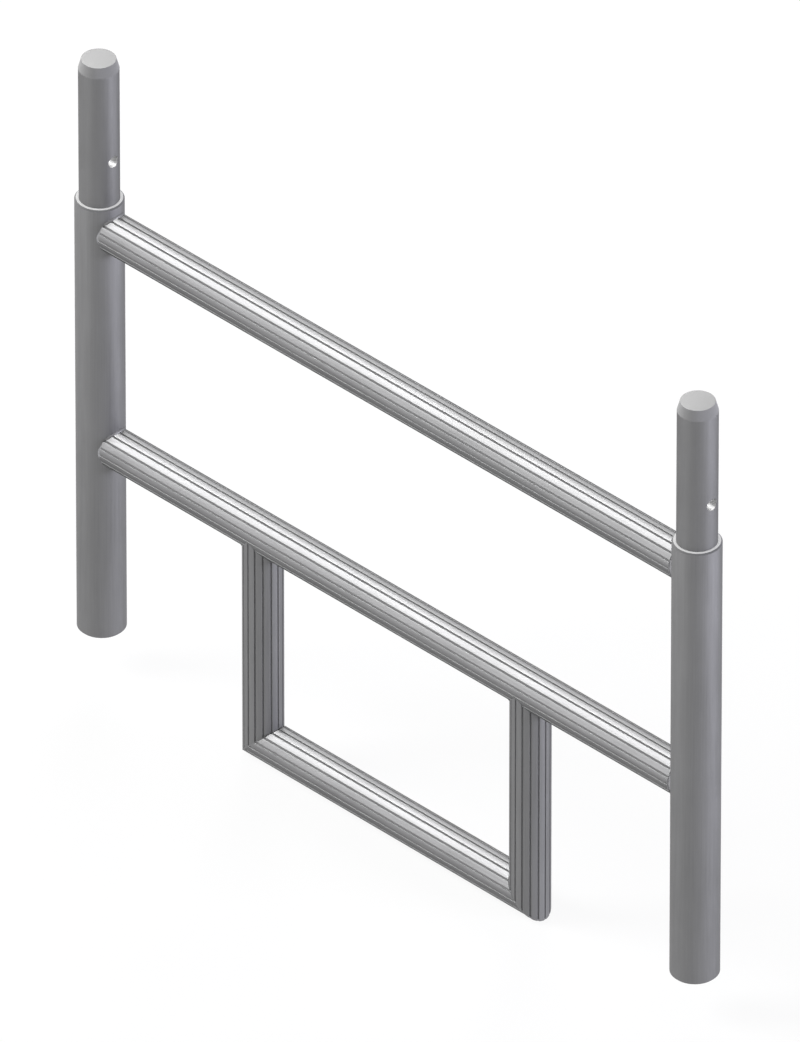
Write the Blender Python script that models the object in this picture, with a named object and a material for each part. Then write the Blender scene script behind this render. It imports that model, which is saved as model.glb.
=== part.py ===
"""Half-height end frame of an aluminium scaffold tower, in metres, +Z up.

Two round posts carry spigots for the frame above. Two ribbed rails join the posts, and a ribbed
U-shaped step hangs from the lower rail. The origin lies midway between the posts, at their lower ends.
+X runs along the rails to the right post, and +Y points to the rear, where the spigots are riveted.
"""
import math

import bmesh
import bpy

# Posts
POST_SPACING = 0.800        # between the axes of the two posts
POST_LENGTH = 0.500
POST_DIAMETER = 0.0483
POST_WALL = 0.0040
POST_EDGE_CHAMFER = 0.0015

# Spigots
SPIGOT_REACH = 0.160        # above the post's upper end
SPIGOT_DEPTH = 0.120        # inside the post
SPIGOT_TIP_HEIGHT = 0.0105  # of the tapered lead-in
SPIGOT_TIP_INSET = 0.0029   # by which the lead-in narrows, at each side
PIN_HOLE_DIAMETER = 0.0125
PIN_HOLE_HEIGHT = 0.050     # of the hole's axis above the post's upper end

# Ribbed tube of the rails and of the step
TUBE_DIAMETER = 0.0404      # over the lands
TUBE_WALL = 0.0032
GROOVE_COUNT = 16
GROOVE_WIDTH = 0.0020       # at the mouth
GROOVE_FLOOR = 0.0014
GROOVE_DEPTH = 0.0010

# Rails
UPPER_RAIL_DROP = 0.032     # from the posts' upper ends to the upper rail's axis
RAIL_PITCH = 0.250          # from rail to rail
RAIL_BITE = 0.0058          # by which the rail's square end reaches past the post's nearest line

# Hanging step
STEP_WIDTH = 0.360          # between the axes of the two legs
STEP_DROP = 0.240           # from the lower rail's axis to the step bar's axis

# Weld beads
BEAD_LEG = 0.0016           # along each of the two surfaces that the bead joins
BEAD_SPAN = math.radians(84)
BEAD_CROWN = 0.60           # of the leg: where the bead's face stands, against 0.5 for a flat face
SEAM_WIDTH = 0.0012         # of the butt weld in the step's mitred corners

# Rivets that hold the spigots
RIVET_DIAMETER = 0.0064
RIVET_HEAD_DIAMETER = 0.013
RIVET_HEAD_HEIGHT = 0.0024
RIVET_HEAD_RIM = 0.0006     # height of the head's upright edge
RIVET_GRIP = 0.012          # length of shank inside the spigot
RIVET_EDGE = 0.030          # from the end of the post, and from the end of the spigot

# Clearance between neighbours
FIT_GAP = 0.0003

# Fineness of the round faces
ROUND_STEPS = 64
HOLE_STEPS = 32
RIVET_STEPS = 20
DOME_STEPS = 3
LAND_STEPS = 3
BEAD_STEPS = 16
LEG_END_STEPS = 3
EDGE_ANGLE = math.radians(30)    # from which an edge stays sharp in the shading

# Colour, roughness and metallic value of each finish
TUBE_FINISH = ((0.180, 0.180, 0.182), 0.53, 0.90)
RIBBED_FINISH = ((0.180, 0.180, 0.182), 0.42, 0.90)
SPIGOT_FINISH = ((0.180, 0.180, 0.182), 0.52, 0.90)
WELD_FINISH = ((0.235, 0.235, 0.240), 0.50, 0.50)
RIVET_FINISH = ((0.270, 0.270, 0.275), 0.42, 0.55)

# Worked out from the sizes above
POST_RADIUS = POST_DIAMETER / 2
BORE_RADIUS = POST_RADIUS - POST_WALL
SPIGOT_RADIUS = BORE_RADIUS - FIT_GAP
TUBE_RADIUS = TUBE_DIAMETER / 2
TUBE_BORE_RADIUS = TUBE_RADIUS - TUBE_WALL
UPPER_RAIL_HEIGHT = POST_LENGTH - UPPER_RAIL_DROP
LOWER_RAIL_HEIGHT = UPPER_RAIL_HEIGHT - RAIL_PITCH
STEP_HEIGHT = LOWER_RAIL_HEIGHT - STEP_DROP
SIDES = (("left", -1), ("right", 1))
ALONG_X = (0, math.pi / 2, 0)    # turns a piece made along Z so that it lies along X
ALONG_Y = (-math.pi / 2, 0, 0)   # turns a piece made along Z so that it lies along Y


def loft(rings, wrap):
    """Skin rings of points, and either join the last ring to the first or cap both ends."""
    mesh = bmesh.new()
    loops = [[mesh.verts.new(point) for point in ring] for ring in rings]
    pairs = list(zip(loops, loops[1:]))
    if wrap:
        pairs.append((loops[-1], loops[0]))
    for near, far in pairs:
        for here in range(len(near)):
            ahead = (here + 1) % len(near)
            mesh.faces.new((near[here], near[ahead], far[ahead], far[here]))
    if not wrap:
        mesh.faces.new(loops[0])
        mesh.faces.new(loops[-1])
    bmesh.ops.recalc_face_normals(mesh, faces=mesh.faces)
    return mesh


def circle(radius, height, steps):
    """Points of a level circle."""
    angles = [2 * math.pi * step / steps for step in range(steps)]
    return [(radius * math.cos(a), radius * math.sin(a), height) for a in angles]


def turned(profile, steps, wrap=False):
    """Solid of revolution about Z through (radius, height) points."""
    return loft([circle(radius, height, steps) for radius, height in profile], wrap)


def add_object(name, mesh, location=(0, 0, 0), rotation=(0, 0, 0)):
    """Put a finished bmesh into the scene under the frame's empty."""
    data = bpy.data.meshes.new(name)
    mesh.to_mesh(data)
    mesh.free()
    data.shade_smooth()
    data.set_sharp_from_angle(angle=EDGE_ANGLE)
    piece = bpy.data.objects.new(name, data)
    piece.location = location
    piece.rotation_euler = rotation
    piece.parent = frame_origin
    bpy.context.scene.collection.objects.link(piece)
    return piece


def add_piece(name, mesh, finish, location=(0, 0, 0), rotation=(0, 0, 0)):
    """Add a sub-part with a metal of its own."""
    piece = add_object(name, mesh, location, rotation)
    colour, roughness, metallic = finish
    metal = bpy.data.materials.new(name + "_metal")
    metal.use_nodes = True
    shader = metal.node_tree.nodes["Principled BSDF"]
    shader.inputs["Base Color"].default_value = (*colour, 1)
    shader.inputs["Roughness"].default_value = roughness
    shader.inputs["Metallic"].default_value = metallic
    piece.data.materials.append(metal)
    return piece


def add_cutter(name, radius, low, high, location, rotation):
    """Add a hidden round bar that only cuts holes."""
    cutter = add_object(name, turned([(radius, low), (radius, high)], HOLE_STEPS), location, rotation)
    cutter.hide_render = True
    cutter.display_type = "WIRE"
    return cutter


def cut(piece, cutters):
    """Subtract each cutter from a piece."""
    for cutter in cutters:
        hole = piece.modifiers.new(cutter.name, "BOOLEAN")
        hole.operation = "DIFFERENCE"
        hole.solver = "EXACT"
        hole.object = cutter


def saddle(radius, sideways):
    """Distance from a round bar's axis to its surface, at a point that lies sideways of that axis."""
    return math.sqrt(max(0.0, radius ** 2 - sideways ** 2))


def ribbed_outline():
    """Corner points of the ribbed tube's outer face, with a groove facing each frame axis."""
    pitch = 2 * math.pi / GROOVE_COUNT
    half_mouth = GROOVE_WIDTH / TUBE_DIAMETER
    half_floor = GROOVE_FLOOR / (TUBE_DIAMETER - 2 * GROOVE_DEPTH)
    land = pitch - 2 * half_mouth
    corners = []
    for groove in range(GROOVE_COUNT):
        middle = groove * pitch
        corners.append((TUBE_RADIUS - GROOVE_DEPTH, middle - half_floor))
        corners.append((TUBE_RADIUS - GROOVE_DEPTH, middle + half_floor))
        for step in range(LAND_STEPS + 1):
            corners.append((TUBE_RADIUS, middle + half_mouth + land * step / LAND_STEPS))
    return [(radius * math.cos(a), radius * math.sin(a)) for radius, a in corners]


def tube_between(outer, low_end, high_end, end_steps=1):
    """Tube along Z with the ribbed tube's bore. Each end is a height that depends on (x, y).

    end_steps splits each end across the wall, for an end that curves there.
    """
    inner = [point[:2] for point in circle(TUBE_BORE_RADIUS, 0, len(outer))]
    across = []
    for step in range(end_steps + 1):
        share = step / end_steps
        across.append([(x + (u - x) * share, y + (v - y) * share) for (x, y), (u, v) in zip(outer, inner)])
    rings = [[(x, y, high_end(x, y)) for x, y in ring] for ring in across]
    rings += [[(x, y, low_end(x, y)) for x, y in ring] for ring in reversed(across)]
    return loft(rings, wrap=True)


def bead(end_height, middle, away):
    """Fillet weld on the side of a tube, where the tube ends against a round bar.

    end_height gives the bar's surface at (x, y) and away points from the bar along the tube.
    """
    root = TUBE_RADIUS + FIT_GAP
    crown = BEAD_CROWN * BEAD_LEG
    corners = ((0, 0), (BEAD_LEG, 0), (crown, crown), (0, BEAD_LEG))
    sections = []
    for step in range(BEAD_STEPS + 1):
        angle = middle + BEAD_SPAN * (step / BEAD_STEPS - 0.5)
        section = []
        for outward, along in corners:
            x = (root + outward) * math.cos(angle)
            y = (root + outward) * math.sin(angle)
            section.append((x, y, end_height(x, y) + away * along))
        sections.append(section)
    return loft(sections, wrap=False)


def post_surface(side):
    """Height along X of a post's inner face, with the gap that welded pieces keep."""
    return lambda x, y: side * (POST_SPACING / 2 - saddle(POST_RADIUS + FIT_GAP, y))


def rail_end(side):
    """Rail end: saddled to the post, and square where the post's face falls away from it."""
    square = POST_SPACING / 2 - POST_RADIUS + RAIL_BITE
    return lambda x, y: side * min(square, abs(post_surface(side)(x, y)))


def rail_underside(x, y):
    """Height of the lower rail's underside above a leg, with the gap that welded pieces keep."""
    return LOWER_RAIL_HEIGHT - saddle(TUBE_RADIUS + FIT_GAP, y)


def mitre(side, middle_height, setback):
    """Slanted end in the plane that halves a corner of the step. A setback trims the piece."""
    return lambda x, y: middle_height - side * x + setback


def build_posts():
    """Posts: plain tubes with a chamfered outer edge at both ends."""
    chamfered = POST_RADIUS - POST_EDGE_CHAMFER
    profile = [
        (BORE_RADIUS, 0),
        (chamfered, 0),
        (POST_RADIUS, POST_EDGE_CHAMFER),
        (POST_RADIUS, POST_LENGTH - POST_EDGE_CHAMFER),
        (chamfered, POST_LENGTH),
        (BORE_RADIUS, POST_LENGTH),
    ]
    for name, side in SIDES:
        post = add_piece(name + "_post", turned(profile, ROUND_STEPS, wrap=True), TUBE_FINISH,
                         (side * POST_SPACING / 2, 0, 0))
        cut(post, rivet_cutters[name])


def build_spigots():
    """Spigots: solid bars in the posts' upper ends, with a lead-in and a hole for a locking pin."""
    tip = POST_LENGTH + SPIGOT_REACH
    profile = [
        (SPIGOT_RADIUS, POST_LENGTH - SPIGOT_DEPTH),
        (SPIGOT_RADIUS, tip - SPIGOT_TIP_HEIGHT),
        (SPIGOT_RADIUS - SPIGOT_TIP_INSET, tip),
    ]
    for name, side in SIDES:
        axis_x = side * POST_SPACING / 2
        spigot = add_piece(name + "_spigot", turned(profile, ROUND_STEPS), SPIGOT_FINISH, (axis_x, 0, 0))
        pin_hole = add_cutter(name + "_pin_hole", PIN_HOLE_DIAMETER / 2, -POST_RADIUS, POST_RADIUS,
                              (axis_x, 0, POST_LENGTH + PIN_HOLE_HEIGHT), ALONG_X)
        cut(spigot, [pin_hole] + rivet_cutters[name])


def rivet_heights():
    """Names and heights of the two rivets of a spigot."""
    upper = POST_LENGTH - RIVET_EDGE
    lower = POST_LENGTH - SPIGOT_DEPTH + RIVET_EDGE
    return (("upper", upper), ("lower", lower))


def build_rivet_cutters():
    """Holes through a post's rear wall and into its spigot, one for each rivet."""
    floor = SPIGOT_RADIUS - RIVET_GRIP - FIT_GAP
    cutters = {}
    for name, side in SIDES:
        cutters[name] = [
            add_cutter(f"{name}_{place}_rivet_hole", RIVET_DIAMETER / 2 + FIT_GAP, floor,
                       POST_RADIUS + RIVET_HEAD_HEIGHT, (side * POST_SPACING / 2, 0, height), ALONG_Y)
            for place, height in rivet_heights()
        ]
    return cutters


def build_rivets():
    """Rivets: a shank in the post and spigot, and a domed head behind the post."""
    shank = RIVET_DIAMETER / 2
    head = RIVET_HEAD_DIAMETER / 2
    seat = POST_RADIUS + FIT_GAP
    dome = RIVET_HEAD_HEIGHT - RIVET_HEAD_RIM
    profile = [(shank, SPIGOT_RADIUS - RIVET_GRIP), (shank, seat), (head, seat)]
    for step in range(DOME_STEPS):
        angle = math.pi / 2 * step / DOME_STEPS
        profile.append((head * math.cos(angle), seat + RIVET_HEAD_RIM + dome * math.sin(angle)))
    for name, side in SIDES:
        for place, height in rivet_heights():
            add_piece(f"{name}_spigot_{place}_rivet", turned(profile, RIVET_STEPS), RIVET_FINISH,
                      (side * POST_SPACING / 2, 0, height), ALONG_Y)


def build_rails():
    """Rails: ribbed tubes from post to post, each end held by an upper and a lower weld bead."""
    for rail, height in (("upper_rail", UPPER_RAIL_HEIGHT), ("lower_rail", LOWER_RAIL_HEIGHT)):
        place = (0, 0, height)
        add_piece(rail, tube_between(ribbed_outline(), rail_end(-1), rail_end(1)), RIBBED_FINISH,
                  place, ALONG_X)
        for name, side in SIDES:
            for run, middle in (("top", math.pi), ("bottom", 0)):
                add_piece(f"{rail}_{name}_{run}_weld", bead(post_surface(side), middle, -side),
                          WELD_FINISH, place, ALONG_X)


def build_step():
    """Step: two legs under the lower rail and a bar between them, mitred and welded at the corners."""
    setback = SEAM_WIDTH / math.sqrt(2) + FIT_GAP * math.sqrt(2)
    half_seam = SEAM_WIDTH / math.sqrt(2)
    round_outline = [point[:2] for point in circle(TUBE_RADIUS, 0, ROUND_STEPS)]
    for name, side in SIDES:
        place = (side * STEP_WIDTH / 2, 0, 0)
        leg = tube_between(ribbed_outline(), mitre(side, STEP_HEIGHT, setback), rail_underside, LEG_END_STEPS)
        add_piece(name + "_step_leg", leg, RIBBED_FINISH, place)
        seam = tube_between(round_outline, mitre(side, STEP_HEIGHT, -half_seam),
                            mitre(side, STEP_HEIGHT, half_seam))
        add_piece(name + "_corner_weld", seam, WELD_FINISH, place)
        for run, middle in (("right", 0), ("left", math.pi)):
            add_piece(f"{name}_leg_{run}_weld", bead(rail_underside, middle, -1), WELD_FINISH, place)
    bar = tube_between(ribbed_outline(), mitre(1, -STEP_WIDTH / 2, setback),
                       mitre(-1, STEP_WIDTH / 2, -setback))
    add_piece("step_bar", bar, RIBBED_FINISH, (0, 0, STEP_HEIGHT), ALONG_X)


for old in list(bpy.data.objects):
    bpy.data.objects.remove(old, do_unlink=True)
frame_origin = bpy.data.objects.new("frame_origin", None)
bpy.context.scene.collection.objects.link(frame_origin)
rivet_cutters = build_rivet_cutters()
build_posts()
build_spigots()
build_rivets()
build_rails()
build_step()
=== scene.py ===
"""Half-height end frame of an aluminium scaffold tower, dressed for the camera.

Lengths are in metres, in the frame of the solids: +X runs along the rails to the right post, +Y points to
the rear and +Z is up. The origin lies midway between the posts, at their lower ends.
"""
import math

import bmesh
import bpy
from mathutils import Matrix, Vector


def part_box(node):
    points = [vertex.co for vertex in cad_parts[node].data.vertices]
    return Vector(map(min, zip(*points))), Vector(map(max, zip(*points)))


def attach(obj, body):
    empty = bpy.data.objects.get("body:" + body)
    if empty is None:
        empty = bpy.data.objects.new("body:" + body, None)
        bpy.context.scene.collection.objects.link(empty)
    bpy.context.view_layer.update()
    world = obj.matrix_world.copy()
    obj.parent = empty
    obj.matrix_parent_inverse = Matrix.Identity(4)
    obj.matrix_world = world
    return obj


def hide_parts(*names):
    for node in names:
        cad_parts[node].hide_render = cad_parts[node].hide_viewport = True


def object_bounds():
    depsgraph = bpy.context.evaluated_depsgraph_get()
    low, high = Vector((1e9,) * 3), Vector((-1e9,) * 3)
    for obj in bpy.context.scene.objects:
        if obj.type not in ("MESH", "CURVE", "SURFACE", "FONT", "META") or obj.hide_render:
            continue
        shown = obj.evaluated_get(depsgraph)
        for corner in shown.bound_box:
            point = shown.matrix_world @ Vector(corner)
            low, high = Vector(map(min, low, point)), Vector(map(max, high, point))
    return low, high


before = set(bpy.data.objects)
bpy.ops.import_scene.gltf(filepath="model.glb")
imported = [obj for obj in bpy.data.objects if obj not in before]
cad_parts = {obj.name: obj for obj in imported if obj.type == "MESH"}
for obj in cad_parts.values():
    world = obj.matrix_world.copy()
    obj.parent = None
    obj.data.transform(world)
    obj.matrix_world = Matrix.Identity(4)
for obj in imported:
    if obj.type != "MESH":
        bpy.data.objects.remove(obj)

cad_low, cad_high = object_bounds()
scene = bpy.context.scene

SIDES = (("left", -1), ("right", 1))
ALONG_X = Matrix.Rotation(math.pi / 2, 4, "Y")
ALONG_Y = Matrix.Rotation(-math.pi / 2, 4, "X")


def centre(node):
    """Middle of a solid's box."""
    low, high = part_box(node)
    return (low + high) / 2


# Sizes read from the solids

post_low, post_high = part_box("right_post")
POST_X = centre("right_post").x
POST_RADIUS = post_high.y
POST_LENGTH = post_high.z - post_low.z
spigot_low, spigot_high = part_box("right_spigot")
SPIGOT_RADIUS = spigot_high.y
SPIGOT_FOOT = spigot_low.z
SPIGOT_TIP = spigot_high.z
UPPER_RAIL_Z = centre("upper_rail").z
LOWER_RAIL_Z = centre("lower_rail").z
RAIL_SQUARE_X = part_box("upper_rail")[1].x   # where a rail's end is cut square
STEP_X = centre("right_step_leg").x
STEP_Z = centre("step_bar").z
rivet_low, rivet_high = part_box("right_spigot_upper_rivet")
RIVET_FOOT = rivet_low.y
RIVET_HEAD_RADIUS = rivet_high.x - POST_X
RIVET_HEIGHTS = [(level, centre(f"right_spigot_{level}_rivet").z) for level in ("upper", "lower")]

# Sizes of the solids that their boxes don't give

POST_WALL = 0.004
BORE_RADIUS = POST_RADIUS - POST_WALL
POST_CHAMFER = 0.0015
TIP_HEIGHT = 0.0105         # of a spigot's lead-in
TIP_INSET = 0.0029
TAPER_FOOT = SPIGOT_TIP - TIP_HEIGHT
PIN_HOLE_RADIUS = 0.00625
PIN_HOLE_RISE = 0.050       # above the post
PIN_HOLE_Z = POST_LENGTH + PIN_HOLE_RISE
TUBE_RADIUS = 0.0202        # of the ribbed tube, over its lands
TUBE_BORE = 0.0170          # radius
GROOVES = 16
GROOVE_MOUTH = 0.0020
GROOVE_FLOOR = 0.0014
GROOVE_DEPTH = 0.0010
RIVET_RADIUS = 0.0032
BEAD_LEG = 0.0016
BEAD_SPAN = math.radians(84)
SEAM_HALF = 0.0006          # half the width of a corner's butt weld

# Small forms that only the scene has

GAP = 0.00006               # between pieces that touch
BORE_ROUND = 0.0002         # radius of the edge at a post's bore
POST_ROUND = 0.0003         # of its outer edges
LIP_GAP = 0.00002           # between the spigot and a post's upper rim, which is pressed in against it
LIP_RADIUS = SPIGOT_RADIUS + LIP_GAP
LIP_DEPTH = 0.001
SPIGOT_ROUNDS = (0.0005, 0.0004, 0.0003)    # at the foot, below the lead-in and at the tip
GROOVE_ROUND = 0.00012
RIM_HEIGHT = 0.0006         # of a rivet's head, below its dome
DOME_HEIGHT = 0.0018
DIMPLE = ((0.0018, 0.00235), (0.0015, 0.0018), (0.0012, 0.0016))     # radius, and height above the post
RIPPLE_PITCH = 0.0016       # along a bead
RIPPLE_LEAN = 0.00018       # by which a ripple's middle leads its edges
FACE_SWELL = 0.126          # of the leg: how far a bead's face bulges between the ripples
RIPPLE_SWELL = 0.028        # of the leg: what a ripple adds to that
BEAD_END = 0.004            # length over which a bead's end tapers
BEAD_END_SHARE = 0.35       # of the full size, at the very end
FILL_SPAN = math.radians(68)
FILL_RECESS = 0.0012        # of the weld behind a rail's square end, below the rail's surface
SEAM_DIP = 0.00025          # of the weld that fills a groove at a corner, below the lands

# Fineness

ROUND_STEPS = 144
EDGE_STEPS = 3
SPIGOT_EDGE_STEPS = 4
LAND_STEPS = 8
WALL_STEPS = 6
PIN_HOLE_STEPS = 64
RIVET_HOLE_STEPS = 32
RIVET_STEPS = 48
DOME_STEPS = 8
DOME_STEPS_KEPT = 6         # the dimple takes the place of the others
RIPPLE_SECTIONS = 8
FACE_STEPS = 6
FILL_STEPS = 24
SHARP = math.radians(28)    # faces that meet at more than this show an edge
STRAIGHT = 0.01             # radians: a corner that turns less than this isn't rounded

DRILL_REACH = 0.030         # from the axis of a post, past its surface
DRILL_START = 0.015         # from the same axis, inside the post's bore

# Share of a face's normal that points up or along the piece

FLAT = 0.9
SLANTED = 0.2


# Shapes


def on_circle(radius, angle):
    return radius * math.cos(angle), radius * math.sin(angle)


def fillet(points, radii, steps):
    """Round the corners of an open line of 2-D points. A radius of 0 keeps the corner."""
    line = [Vector(points[0])]
    for before, corner, after, radius in zip(points, points[1:], points[2:], radii):
        corner = Vector(corner)
        back = (Vector(before) - corner).normalized()
        ahead = (Vector(after) - corner).normalized()
        turn = math.pi - back.angle(ahead)
        if radius == 0 or turn < STRAIGHT:
            line.append(corner)
            continue
        reach = radius * math.tan(turn / 2)
        start = corner + back * reach
        end = corner + ahead * reach
        for step in range(steps + 1):
            share = step / steps
            line.append(start.lerp(corner, share).lerp(corner.lerp(end, share), share))
    line.append(Vector(points[-1]))
    return line


def loft(rings, wrap):
    """Skin rings of points, and join the last ring to the first or cap both ends."""
    mesh = bmesh.new()
    loops = [[mesh.verts.new(point) for point in ring] for ring in rings]
    pairs = list(zip(loops, loops[1:]))
    if wrap:
        pairs.append((loops[-1], loops[0]))
    for near, far in pairs:
        for here in range(len(near)):
            ahead = (here + 1) % len(near)
            mesh.faces.new((near[here], near[ahead], far[ahead], far[here]))
    if not wrap:
        mesh.faces.new(loops[0])
        mesh.faces.new(loops[-1])
    bmesh.ops.recalc_face_normals(mesh, faces=mesh.faces)
    return mesh


def turned(profile, steps, wrap):
    """Solid of revolution about Z through (radius, height) points."""
    rings = []
    for radius, height in profile:
        angles = [2 * math.pi * step / steps for step in range(steps)]
        rings.append([(*on_circle(radius, angle), height) for angle in angles])
    return loft(rings, wrap)


def post_outline():
    """Half section of a post as a closed line, which starts halfway up the bore."""
    flat = POST_RADIUS - POST_CHAMFER
    corners = [
        (BORE_RADIUS, POST_LENGTH / 2),
        (BORE_RADIUS, 0),
        (flat, 0),
        (POST_RADIUS, POST_CHAMFER),
        (POST_RADIUS, POST_LENGTH - POST_CHAMFER),
        (flat, POST_LENGTH),
        (LIP_RADIUS, POST_LENGTH),
        (LIP_RADIUS, POST_LENGTH - LIP_DEPTH),
        (BORE_RADIUS, POST_LENGTH - 2 * LIP_DEPTH),
        (BORE_RADIUS, POST_LENGTH / 2),
    ]
    radii = (BORE_ROUND,) + (POST_ROUND,) * 4 + (0,) * 3
    return fillet(corners, radii, EDGE_STEPS)[:-1]      # the last point is the first again


def spigot_outline():
    """Half section of a spigot, without the two points on its axis, where the flat ends are capped."""
    corners = [
        (0, SPIGOT_FOOT),
        (SPIGOT_RADIUS, SPIGOT_FOOT),
        (SPIGOT_RADIUS, TAPER_FOOT),
        (SPIGOT_RADIUS - TIP_INSET, SPIGOT_TIP),
        (0, SPIGOT_TIP),
    ]
    return fillet(corners, SPIGOT_ROUNDS, SPIGOT_EDGE_STEPS)[1:-1]


def rivet_outline():
    """Half section of a blind rivet: shank, rim, dome and the dimple that its broken pin leaves."""
    seat = POST_RADIUS + GAP
    rim = seat + RIM_HEIGHT
    line = [(RIVET_RADIUS, RIVET_FOOT), (RIVET_RADIUS, seat), (RIVET_HEAD_RADIUS, seat),
            (RIVET_HEAD_RADIUS, rim)]
    for step in range(1, DOME_STEPS_KEPT + 1):
        angle = math.pi / 2 * step / DOME_STEPS
        line.append((RIVET_HEAD_RADIUS * math.cos(angle), rim + DOME_HEIGHT * math.sin(angle)))
    return line + [(radius, seat + height) for radius, height in DIMPLE]


def ribbed_outline():
    """Outline of the ribbed tube with rounded groove edges, a groove facing each axis of the frame."""
    pitch = 2 * math.pi / GROOVES
    bottom = TUBE_RADIUS - GROOVE_DEPTH
    mouth = GROOVE_MOUTH / (2 * TUBE_RADIUS)
    floor = GROOVE_FLOOR / (2 * bottom)
    land = (pitch - 2 * mouth) / LAND_STEPS
    points = []
    for groove in range(GROOVES):
        middle = groove * pitch
        corners = [
            on_circle(TUBE_RADIUS, middle - mouth - land),
            on_circle(TUBE_RADIUS, middle - mouth),
            on_circle(bottom, middle - floor),
            on_circle(bottom, middle + floor),
            on_circle(TUBE_RADIUS, middle + mouth),
            on_circle(TUBE_RADIUS, middle + mouth + land),
        ]
        points += [(point.x, point.y) for point in fillet(corners, (GROOVE_ROUND,) * 4, EDGE_STEPS)]
        between = range(2, LAND_STEPS - 1)      # the corners hold the points at both ends of a land
        points += [on_circle(TUBE_RADIUS, middle + mouth + land * step) for step in between]
    return points


def filled(outline):
    """The ribbed outline with weld metal in its grooves."""
    points = []
    for x, y in outline:
        growth = max(1.0, (TUBE_RADIUS - SEAM_DIP) / math.hypot(x, y))
        points.append((x * growth, y * growth))
    return points


def tube(outer, low_end, high_end):
    """Tube along Z with the ribbed tube's bore. Each end is a height that depends on (x, y)."""
    inner = [on_circle(TUBE_BORE, math.atan2(y, x)) for x, y in outer]
    across = []
    for step in range(WALL_STEPS + 1):
        share = step / WALL_STEPS
        across.append([(x + (u - x) * share, y + (v - y) * share) for (x, y), (u, v) in zip(outer, inner)])
    rings = [[(x, y, high_end(x, y)) for x, y in ring] for ring in across]
    rings += [[(x, y, low_end(x, y)) for x, y in ring] for ring in reversed(across)]
    return loft(rings, True)


def saddle(radius, sideways):
    """Distance from a round bar's axis to its surface, at a point that lies sideways of that axis."""
    return math.sqrt(max(0.0, radius ** 2 - sideways ** 2))


def post_face(side):
    """Height along a rail of the post's surface."""
    return lambda x, y: side * (POST_X - saddle(POST_RADIUS + GAP, y))


def rail_end(side):
    """Rail's end: saddled to the post, and square where the post falls away from it."""
    return lambda x, y: side * min(RAIL_SQUARE_X, POST_X - saddle(POST_RADIUS + GAP, y))


def rail_underside(x, y):
    """Height of the lower rail's underside above a leg."""
    return LOWER_RAIL_Z - saddle(TUBE_RADIUS + GAP, y)


def mitre(side, height, setback):
    """Slanted end in the plane that halves a corner of the step."""
    return lambda x, y: height - side * x + setback


def bead_section(swell):
    """Fillet weld with legs of 1 and a bulging face, as (outward, along) points."""
    section = [(0.0, 0.0), (1.0, 0.0)]
    for step in range(1, FACE_STEPS):
        share = step / FACE_STEPS
        push = swell * math.sin(math.pi * share)
        section.append((1 - share + push, share + push))
    return section + [(0.0, 1.0)]


def bead(end_height, middle, away):
    """Rippled fillet weld on the side of a tube that ends against a round bar."""
    root = TUBE_RADIUS + GAP
    length = BEAD_SPAN * root
    ripples = round(length / RIPPLE_PITCH)
    count = ripples * RIPPLE_SECTIONS
    rings = []
    for step in range(count + 1):
        share = step / count
        angle = middle + BEAD_SPAN * (share - 0.5)
        phase = (share * ripples) % 1.0
        swell = FACE_SWELL + RIPPLE_SWELL * math.sqrt(1 - (2 * phase - 1) ** 2)
        lean = RIPPLE_LEAN / root * math.sin(2 * math.pi * phase)
        from_end = min(share, 1 - share) * length / BEAD_END
        size = BEAD_END_SHARE + (1 - BEAD_END_SHARE) * math.sin(math.pi / 2 * min(1.0, from_end))
        leg = BEAD_LEG * size
        ring = []
        for outward, along in bead_section(swell):
            x, y = on_circle(root + leg * outward, angle + lean * (outward + along) / 2)
            ring.append((x, y, end_height(x, y) + away * leg * along))
        rings.append(ring)
    return loft(rings, False)


def root_fill(side, middle):
    """Weld metal in the gap that the post leaves at the front and the rear of a rail's square end."""
    face = post_face(side)
    start = RAIL_SQUARE_X + GAP
    rings = []
    for step in range(FILL_STEPS + 1):
        angle = middle + FILL_SPAN * (step / FILL_STEPS - 0.5)
        bore_x, bore_y = on_circle(TUBE_BORE, angle)
        outer_x, outer_y = on_circle(TUBE_RADIUS - FILL_RECESS, angle)
        bore_end = max(start + GAP, side * face(bore_x, bore_y))
        outer_end = max(start + GAP, side * face(outer_x, outer_y))
        rings.append([
            (bore_x, bore_y, side * start),
            (bore_x, bore_y, side * bore_end),
            (outer_x, outer_y, side * outer_end),
            (outer_x, outer_y, side * start),
        ])
    return loft(rings, False)


# Pieces


def add_mesh(name, mesh, matrix, material):
    """Turn a finished bmesh into an object of the scene."""
    data = bpy.data.meshes.new(name)
    mesh.to_mesh(data)
    mesh.free()
    data.shade_smooth()
    data.materials.append(material)
    item = bpy.data.objects.new(name, data)
    item.matrix_world = matrix
    scene.collection.objects.link(item)
    return item


def put(name, mesh, matrix, material, node):
    """Add a piece of the frame, which stands for a node of the solids if one is named."""
    piece = add_mesh(name, mesh, matrix, material)
    piece.data.set_sharp_from_angle(angle=SHARP)
    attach(piece, "root")
    if node:
        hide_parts(node)
    return piece


def drill(radius, start, end, matrix, material, steps):
    """Loose round bar, used only to cut. Its material stays in the hole."""
    return add_mesh("drill", turned([(radius, start), (radius, end)], steps, False), matrix, material)


def rivet_drills(x, start, material):
    """Bars for both rivet holes of a post or a spigot."""
    return [drill(RIVET_RADIUS + GAP, start, DRILL_REACH, Matrix.Translation((x, 0, z)) @ ALONG_Y,
                  material, RIVET_HOLE_STEPS) for _, z in RIVET_HEIGHTS]


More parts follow.
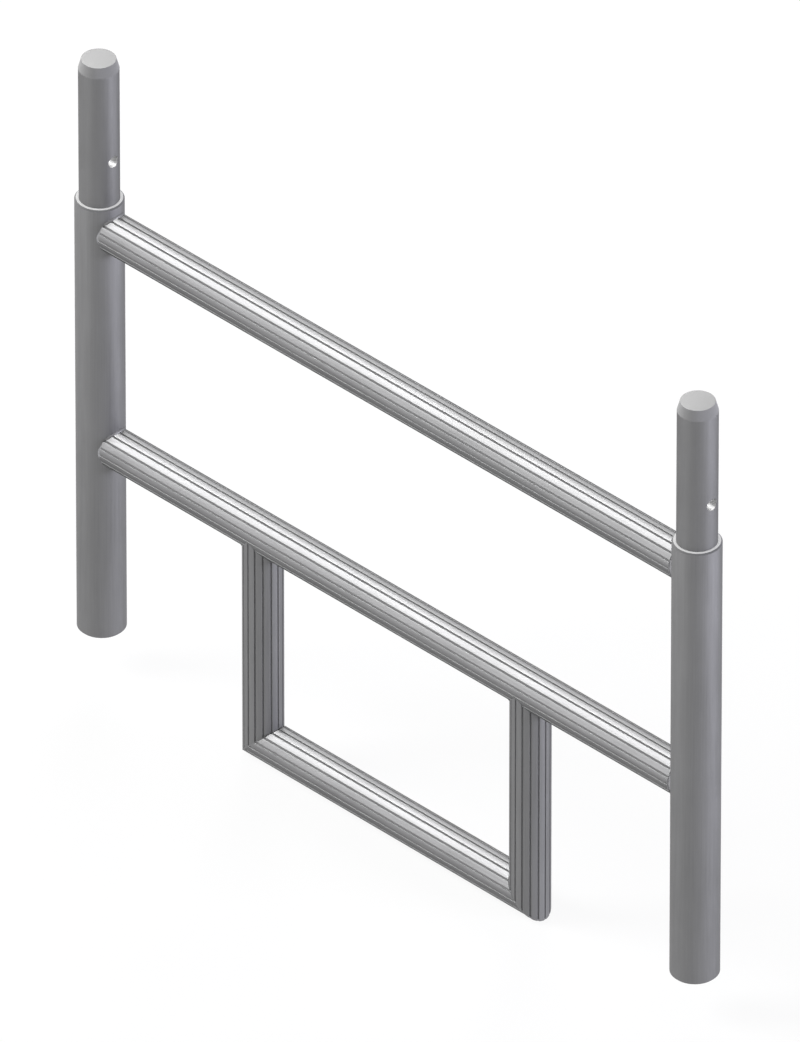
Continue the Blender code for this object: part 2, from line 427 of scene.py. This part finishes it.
def bored(piece, drills):
    """Cut holes through a piece and drop the bars that cut them."""
    for bar in drills:
        hole = piece.modifiers.new("hole", "BOOLEAN")
        hole.operation = "DIFFERENCE"
        hole.solver = "EXACT"
        hole.object = bar
        hole.material_mode = "TRANSFER"
    bpy.context.view_layer.update()
    graph = bpy.context.evaluated_depsgraph_get()
    shape = bpy.data.meshes.new_from_object(piece.evaluated_get(graph))
    piece.modifiers.clear()
    piece.data = shape
    shape.set_sharp_from_angle(angle=SHARP)
    for bar in drills:
        bpy.data.objects.remove(bar, do_unlink=True)


def refinish(piece, material, chosen):
    """Give the chosen faces of a piece another finish."""
    piece.data.materials.append(material)
    for face in piece.data.polygons:
        if chosen(face):
            face.material_index = len(piece.data.materials) - 1


# Materials

STREAKS = (2600.0, 0.004, 3.0)      # of each noise: cycles per metre, share of them along the piece, detail
FILM = (38.0, 0.35, 4.0)
SCUFFS = (900.0, 0.03, 2.0)
NOISE_ROUGHNESS = 0.55
NOISE_RANGE = (0.3, 0.7)    # in which most values of a noise lie
SCUFF_RANGE = (0.66, 0.74)  # the peaks that show as scuffs
SCUFF_TONE = 1.06
FILM_TONE = 0.04
STREAK_ROUGHNESS = 0.05
FILM_ROUGHNESS = 0.03
RELIEF = 0.00005            # height of the streaks
SPECULAR_LEVEL = 0.2
GROOVE_ROUGHNESS = 0.45     # added inside a groove
GROOVE_WALL = 0.40          # share of the depth below which a groove has its full finish
GROOVE_BRINK = 0.03         # share of the depth above which it has the land's
GROOVE_RANGE = (TUBE_RADIUS - GROOVE_WALL * GROOVE_DEPTH, TUBE_RADIUS - GROOVE_BRINK * GROOVE_DEPTH)


def node_math(tree, kind, *values):
    """Math node. Each value is a number or another node's output."""
    node = tree.nodes.new("ShaderNodeMath")
    node.operation = kind
    for socket, value in zip(node.inputs, values):
        if isinstance(value, (int, float)):
            socket.default_value = value
        else:
            tree.links.new(value, socket)
    return node.outputs["Value"]


def map_range(tree, value, source, target):
    """Spread a value from one (low, high) range over another, and hold it there."""
    node = tree.nodes.new("ShaderNodeMapRange")
    node.inputs["From Min"].default_value, node.inputs["From Max"].default_value = source
    node.inputs["To Min"].default_value, node.inputs["To Max"].default_value = target
    tree.links.new(value, node.inputs["Value"])
    return node.outputs["Result"]


def noise(tree, place, along, scale, squash, detail):
    """Noise that is drawn out along one axis of the piece."""
    stretch = tree.nodes.new("ShaderNodeMapping")
    scales = [scale * squash if axis == along else scale for axis in "XYZ"]
    stretch.inputs["Scale"].default_value = scales
    tree.links.new(place, stretch.inputs["Vector"])
    texture = tree.nodes.new("ShaderNodeTexNoise")
    texture.inputs["Scale"].default_value = 1.0
    texture.inputs["Detail"].default_value = detail
    texture.inputs["Roughness"].default_value = NOISE_ROUGHNESS
    tree.links.new(stretch.outputs["Vector"], texture.inputs["Vector"])
    return texture.outputs["Fac"]


def from_axis(tree, place):
    """Distance from the piece's own Z axis."""
    split = tree.nodes.new("ShaderNodeSeparateXYZ")
    tree.links.new(place, split.inputs[0])
    squares = [node_math(tree, "POWER", split.outputs[axis], 2.0) for axis in "XY"]
    return node_math(tree, "SQRT", node_math(tree, "ADD", *squares))


def metal(name, along, colour, roughness, metallic, streak=0.10, groove_painted_shading=None, bump=0.10, edge=0.6):
    """Drawn or extruded aluminium: streaks along the piece, a cloudy oxide film and fine scuffs.

    A groove factor makes the grooves of a ribbed tube rougher, and lighter or darker by that factor: painted
    light or painted shade in the grooves.
    """
    material = bpy.data.materials.new(name)
    material.use_nodes = True
    tree = material.node_tree
    shader = tree.nodes["Principled BSDF"]
    shader.inputs["Metallic"].default_value = metallic
    shader.inputs["Specular IOR Level"].default_value = SPECULAR_LEVEL
    shader.inputs["Specular Tint"].default_value = (edge, edge, edge, 1)
    place = tree.nodes.new("ShaderNodeTexCoord").outputs["Object"]
    streaks = noise(tree, place, along, *STREAKS)
    film = noise(tree, place, along, *FILM)
    scuffs = noise(tree, place, along, *SCUFFS)

    tone = node_math(tree, "MULTIPLY",
                     map_range(tree, streaks, NOISE_RANGE, (1 - streak, 1 + streak)),
                     map_range(tree, film, NOISE_RANGE, (1 - FILM_TONE, 1 + FILM_TONE)))
    tone = node_math(tree, "MULTIPLY", tone, map_range(tree, scuffs, SCUFF_RANGE, (1.0, SCUFF_TONE)))
    rough = node_math(tree, "ADD",
                      map_range(tree, streaks, NOISE_RANGE, (-STREAK_ROUGHNESS, STREAK_ROUGHNESS)),
                      map_range(tree, film, NOISE_RANGE, (-FILM_ROUGHNESS, FILM_ROUGHNESS)))
    if groove_painted_shading:
        radius = from_axis(tree, place)
        # Painted light or painted shade: the grooves lighter or darker by the given factor.
        tone = node_math(tree, "MULTIPLY", tone, map_range(tree, radius, GROOVE_RANGE, (groove_painted_shading, 1.0)))
        rough = node_math(tree, "ADD", rough, map_range(tree, radius, GROOVE_RANGE, (GROOVE_ROUGHNESS, 0.0)))

    tint = tree.nodes.new("ShaderNodeVectorMath")
    tint.operation = "SCALE"
    tint.inputs[0].default_value = colour
    tree.links.new(tone, tint.inputs["Scale"])
    tree.links.new(tint.outputs["Vector"], shader.inputs["Base Color"])
    tree.links.new(node_math(tree, "ADD", rough, roughness), shader.inputs["Roughness"])
    relief = tree.nodes.new("ShaderNodeBump")
    relief.inputs["Strength"].default_value = bump
    relief.inputs["Distance"].default_value = RELIEF
    tree.links.new(streaks, relief.inputs["Height"])
    tree.links.new(relief.outputs["Normal"], shader.inputs["Normal"])
    return material


GREY = (0.180, 0.180, 0.182)
POST_METAL = metal("post_aluminium", "Z", GREY, 0.53, 0.9)
SPIGOT_METAL = metal("spigot_aluminium", "Z", GREY, 0.52, 0.9, streak=0.06, edge=0.4)
# The pin hole's bore is light grey: painted light inside the hole, where the lamps' light barely reaches.
BORE_PAINTED_LIGHT_METAL = metal("drilled_bore_painted_light", "X", (0.50, 0.50, 0.50), 0.60, 1.0, streak=0.02, bump=0.02)
# The flat upper rim of a post is light grey: partly bare metal worn by the frame that sits on it, partly a
# painted highlight that keeps its front as bright as where the spigot doesn't shade it.
WORN_RIM_AND_HIGHLIGHT_METAL = metal("worn_rim_and_painted_highlight", "X", (0.55, 0.55, 0.55), 0.92, 1.0, streak=0.03, bump=0.04)
CHAMFER_METAL = metal("turned_chamfer", "X", (0.19, 0.19, 0.192), 0.92, 1.0, streak=0.03, bump=0.04)
# Grooves are painted lighter than the lands, as painted light against their shade: a little on the rails and
# bar, more on the legs.
RIB_METAL = metal("ribbed_aluminium", "Z", GREY, 0.42, 0.9, groove_painted_shading=1.1, edge=0.35)
LEG_METAL = metal("leg_aluminium", "Z", GREY, 0.53, 0.9, groove_painted_shading=1.35)
WELD_METAL = metal("weld_aluminium", "Y", GREY, 0.60, 0.9, streak=0.06)
# Weld metal in the gaps at a rail's square end, lighter than the beads: real weld root, painted lighter as
# painted light against the gaps' shade.
ROOT_WELD_LIGHT_METAL = metal("weld_root_painted_light", "Y", (0.34, 0.34, 0.35), 0.90, 1.0, streak=0.03)
# The seam's shallow grooves are painted a little darker: painted shade.
SEAM_METAL = metal("ground_seam", "Y", (0.20, 0.20, 0.202), 0.46, 0.9, groove_painted_shading=0.9)
TAPER_METAL = metal("turned_taper", "X", (0.31, 0.31, 0.312), 0.97, 1.0, streak=0.05)
# The flat top of a spigot's tip is a little lighter than the rest of the spigot: a painted highlight on a
# face that looks up.
SAWN_TOP_HIGHLIGHT_METAL = metal("sawn_face_painted_highlight", "X", (0.222, 0.222, 0.222), 0.52, 0.9, streak=0.05)
# The square-cut ends of the rails are light grey: painted light in the shaded gap against the post.
CUT_END_PAINTED_LIGHT_METAL = metal("cut_end_painted_light", "Y", (0.60, 0.60, 0.61), 0.90, 1.0, streak=0.03, bump=0.04)
RIVET_METAL = metal("rivet_aluminium", "Y", (0.27, 0.27, 0.275), 0.42, 0.55, streak=0.04)


# The frame


def at_upper_rim(face, share):
    """Whether a face of a post lies at its upper end and turns up by more than this share."""
    return face.normal.z > share and face.center.z > POST_LENGTH / 2


def build_posts():
    line = post_outline()
    for side_name, side in SIDES:
        x = side * POST_X
        post = put(f"{side_name}_post_tube", turned(line, ROUND_STEPS, True), Matrix.Translation((x, 0, 0)),
                   POST_METAL, f"{side_name}_post")
        bored(post, rivet_drills(x, DRILL_START, POST_METAL))
        refinish(post, CHAMFER_METAL, lambda face: at_upper_rim(face, SLANTED))
        # The flat rim: worn metal, and partly a painted highlight.
        refinish(post, WORN_RIM_AND_HIGHLIGHT_METAL, lambda face: at_upper_rim(face, FLAT))


def build_spigots():
    line = spigot_outline()
    for side_name, side in SIDES:
        x = side * POST_X
        spigot = put(f"{side_name}_spigot_bar", turned(line, ROUND_STEPS, False),
                     Matrix.Translation((x, 0, 0)), SPIGOT_METAL, f"{side_name}_spigot")
        # The drill leaves its light bore finish, painted light, in the pin hole.
        pin_drill = drill(PIN_HOLE_RADIUS, -DRILL_REACH, DRILL_REACH,
                          Matrix.Translation((x, 0, PIN_HOLE_Z)) @ ALONG_X, BORE_PAINTED_LIGHT_METAL, PIN_HOLE_STEPS)
        bored(spigot, [pin_drill] + rivet_drills(x, RIVET_FOOT - GAP, SPIGOT_METAL))
        refinish(spigot, TAPER_METAL, lambda face: face.center.z > TAPER_FOOT)
        # Painted highlight on the tip's flat top.
        refinish(spigot, SAWN_TOP_HIGHLIGHT_METAL, lambda face: face.center.z > TAPER_FOOT and face.normal.z > FLAT)


def build_rivets():
    line = rivet_outline()
    for side_name, side in SIDES:
        for level, z in RIVET_HEIGHTS:
            put(f"{side_name}_{level}_rivet_head", turned(line, RIVET_STEPS, False),
                Matrix.Translation((side * POST_X, 0, z)) @ ALONG_Y, RIVET_METAL,
                f"{side_name}_spigot_{level}_rivet")


def build_rails(outline):
    for rail_name, z in (("upper_rail", UPPER_RAIL_Z), ("lower_rail", LOWER_RAIL_Z)):
        where = Matrix.Translation((0, 0, z)) @ ALONG_X
        rail = put(f"{rail_name}_tube", tube(outline, rail_end(-1), rail_end(1)), where, RIB_METAL,
                   rail_name)
        # Painted light on the rails' square-cut end faces.
        refinish(rail, CUT_END_PAINTED_LIGHT_METAL,
                 lambda face: abs(face.normal.z) > FLAT and abs(face.center.z) > RAIL_SQUARE_X - GAP)
        for side_name, side in SIDES:
            for run, middle in (("top", math.pi), ("bottom", 0.0)):
                put(f"{rail_name}_{side_name}_{run}_bead", bead(post_face(side), middle, -side), where,
                    WELD_METAL, f"{rail_name}_{side_name}_{run}_weld")
            for run, middle in (("front", -math.pi / 2), ("rear", math.pi / 2)):
                # Root welds, lightened as painted light.
                put(f"{rail_name}_{side_name}_{run}_fill", root_fill(side, middle), where, ROOT_WELD_LIGHT_METAL,
                    None)


def build_step(outline):
    half_seam = SEAM_HALF * math.sqrt(2)    # measured along a tube, at a mitre of 45 degrees
    setback = half_seam + GAP
    for side_name, side in SIDES:
        where = Matrix.Translation((side * STEP_X, 0, 0))
        put(f"{side_name}_step_leg_tube", tube(outline, mitre(side, STEP_Z, setback), rail_underside), where,
            LEG_METAL, f"{side_name}_step_leg")
        seam = tube(filled(outline), mitre(side, STEP_Z, -half_seam), mitre(side, STEP_Z, half_seam))
        put(f"{side_name}_corner_seam", seam, where, SEAM_METAL, f"{side_name}_corner_weld")
        for run, middle in (("right", 0.0), ("left", math.pi)):
            put(f"{side_name}_leg_{run}_bead", bead(rail_underside, middle, -1), where, WELD_METAL,
                f"{side_name}_leg_{run}_weld")
    put("step_bar_tube", tube(outline, mitre(1, -STEP_X, setback), mitre(-1, STEP_X, -setback)),
        Matrix.Translation((0, 0, STEP_Z)) @ ALONG_X, RIB_METAL, "step_bar")


build_posts()
build_spigots()
build_rivets()
ribs = ribbed_outline()
build_rails(ribs)
build_step(ribs)


# Floor and world

WHITE = (1, 1, 1, 1)
FLOOR_SIZE = 30.0           # from its middle to a side
FLOOR_CLEARANCE = 0.0005    # below the lowest point of the frame
FLOOR_COLOUR = (0.72, 0.72, 0.72, 1)
FLOOR_GLOW = 0.80           # share of plain white in the floor that is seen, the rest being lit and shaded
SKY = 0.15                  # the world's strength as a light


def seen_directly(tree):
    """1 for rays from the camera and for those that metal or glass reflects, otherwise 0."""
    path = tree.nodes.new("ShaderNodeLightPath").outputs
    reflected = node_math(tree, "MAXIMUM", path["Is Glossy Ray"], path["Is Transmission Ray"])
    return node_math(tree, "MAXIMUM", path["Is Camera Ray"], reflected)


def floor_paint():
    """White to look at, but with part of the frame's shadow."""
    paint = bpy.data.materials.new("floor_paint")
    paint.use_nodes = True
    tree = paint.node_tree
    tree.nodes.clear()
    matt = tree.nodes.new("ShaderNodeBsdfDiffuse")
    matt.inputs["Color"].default_value = FLOOR_COLOUR
    glow = tree.nodes.new("ShaderNodeEmission")
    glow.inputs["Color"].default_value = WHITE
    glow.inputs["Strength"].default_value = 1.0
    blend = tree.nodes.new("ShaderNodeMixShader")
    tree.links.new(node_math(tree, "MULTIPLY", seen_directly(tree), FLOOR_GLOW), blend.inputs["Fac"])
    tree.links.new(matt.outputs["BSDF"], blend.inputs[1])
    tree.links.new(glow.outputs["Emission"], blend.inputs[2])
    surface = tree.nodes.new("ShaderNodeOutputMaterial")
    tree.links.new(blend.outputs["Shader"], surface.inputs["Surface"])
    return paint


def lay_floor():
    mesh = bmesh.new()
    bmesh.ops.create_grid(mesh, x_segments=1, y_segments=1, size=FLOOR_SIZE)
    height = cad_low.z - FLOOR_CLEARANCE
    floor = add_mesh("floor", mesh, Matrix.Translation((0, 0, height)), floor_paint())


def make_world():
    world = bpy.data.worlds.new("studio")
    world.use_nodes = True
    tree = world.node_tree
    back = tree.nodes["Background"]
    back.inputs["Color"].default_value = WHITE
    strength = map_range(tree, seen_directly(tree), (0.0, 1.0), (SKY, 1.0))
    tree.links.new(strength, back.inputs["Strength"])
    scene.world = world


# Lamps

MIDDLE = Vector((0, 0, (cad_low.z + cad_high.z) / 2))
LAMP_DISTANCE = 10.0
KEY_SIZE = (4.0, 4.0)
SIDE_SIZE = (3.0, 1.2)
RIGHT_SIZE = (5.3, 1.2)
SIDE_RISE = 0.08            # of the level lamps, per metre of distance
NEUTRAL = (1, 1, 1)
COOL = (0.87, 0.87, 1.0)


def rail_mirror(degrees):
    """Direction of light that a rail can mirror to the camera. All lie on a cone: 0 is in front, 90 above."""
    turn = math.radians(degrees)
    return Vector((-1, -math.sqrt(2) * math.cos(turn), math.sqrt(2) * math.sin(turn))).normalized()


def near_level(degrees):
    """Nearly level direction, by its angle from +X toward +Y."""
    return Vector((*on_circle(1.0, math.radians(degrees)), SIDE_RISE)).normalized()


def softbox(name, toward, size, power, colour=NEUTRAL, shadow=True):
    """Rectangular soft light that points at the middle of the frame."""
    lamp = bpy.data.lights.new(name, "AREA")
    lamp.shape = "RECTANGLE"
    lamp.size, lamp.size_y = size
    lamp.energy = power
    lamp.color = colour
    lamp.use_shadow = shadow
    lamp.cycles.use_multiple_importance_sampling = shadow
    holder = bpy.data.objects.new(name, lamp)
    holder.location = MIDDLE + toward * LAMP_DISTANCE
    holder.rotation_mode = "QUATERNION"
    holder.rotation_quaternion = toward.to_track_quat("Z", "Y")
    scene.collection.objects.link(holder)


def hang_lamps():
    softbox("lower_key_light", rail_mirror(33), KEY_SIZE, 68)
    softbox("key_light", rail_mirror(56), KEY_SIZE, 420)
    softbox("upper_key_light", rail_mirror(79), KEY_SIZE, 390, shadow=False)
    softbox("top_light", rail_mirror(102), KEY_SIZE, 500, shadow=False)
    softbox("back_light", rail_mirror(148), KEY_SIZE, 256)
    softbox("left_light", near_level(205), SIDE_SIZE, 474)
    softbox("front_light", near_level(255), SIDE_SIZE, 373)
    softbox("right_light", near_level(24), RIGHT_SIZE, 1360, COOL)


# Camera at the photograph's isometric angle

LENS = 1300.0               # long lens, for a nearly flat isometric view; about the longest that the other views allow
SENSOR = 36.0
CLIP = (1.0, 200.0)
VISIBLE_HEIGHT = 0.99417
AIM_RIGHT = 0.00346         # of the point in the middle of the image, along the image from the origin
AIM_UP = 0.26266
IMAGE_RIGHT = Vector((1, 1, 0)).normalized()
TO_CAMERA = Vector((1, -1, 1)).normalized()
IMAGE_UP = TO_CAMERA.cross(IMAGE_RIGHT)


def set_camera():
    data = bpy.data.cameras.new("camera")
    data.lens = LENS
    data.sensor_width = SENSOR
    data.clip_start, data.clip_end = CLIP
    camera = bpy.data.objects.new("camera", data)
    aim = IMAGE_RIGHT * AIM_RIGHT + IMAGE_UP * AIM_UP
    camera.location = aim + TO_CAMERA * (VISIBLE_HEIGHT * LENS / SENSOR)
    camera.rotation_mode = "QUATERNION"
    camera.rotation_quaternion = TO_CAMERA.to_track_quat("Z", "Y")
    scene.collection.objects.link(camera)
    scene.camera = camera


scene.view_settings.view_transform = "Standard"
lay_floor()
make_world()
hang_lamps()
set_camera()
